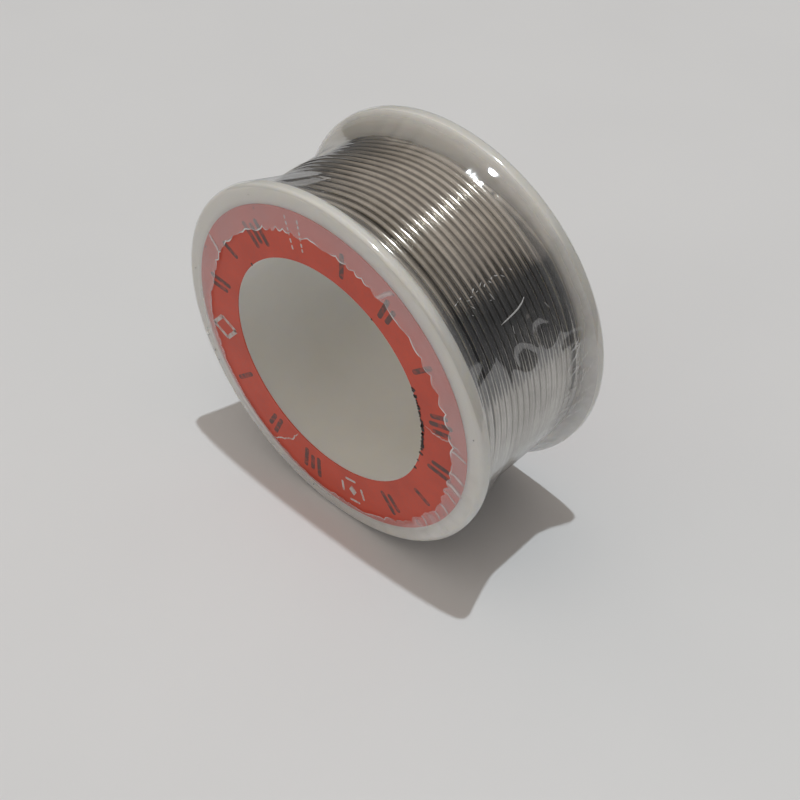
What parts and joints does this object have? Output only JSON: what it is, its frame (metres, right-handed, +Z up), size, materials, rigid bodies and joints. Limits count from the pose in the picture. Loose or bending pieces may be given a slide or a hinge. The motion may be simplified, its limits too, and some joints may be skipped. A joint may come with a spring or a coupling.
{
  "type": "solder wire spool",
  "caption": "Small white plastic reel wound with fine rosin-cored solder wire, a red label ring on each face, in clear shrink film.",
  "frame": {"origin": "middle of the spindle bore, on the reel's axis at mid width", "axes": "+Y along the reel's axis from the front face to the rear face, +Z up with the reel standing on its two rims, +X to the right of the front face"},
  "size_m": [0.0402, 0.0184, 0.0402],
  "materials": {
    "white_plastic": "moulded polystyrene, soft gloss",
    "solder": "bright drawn tin-lead wire",
    "rosin": "clear amber rosin",
    "label_paper": "printed coated paper",
    "clear_film": "clear shrink film, glossy and wrinkled"
  },
  "bodies": {
    "root": {"reel_body": "white_plastic", "reel_rear_flange": "white_plastic", "wire_layer_1": "solder", "wire_layer_2": "solder", "wire_layer_3": "solder", "wire_layer_4": "solder", "wire_layer_5": "solder", "wire_layer_6": "solder", "wire_layer_7": "solder", "wire_tail": "solder", "flux_core": "rosin", "label_front": "label_paper", "label_rear": "label_paper", "shrink_film": "clear_film"}
  },
  "joints": []
}
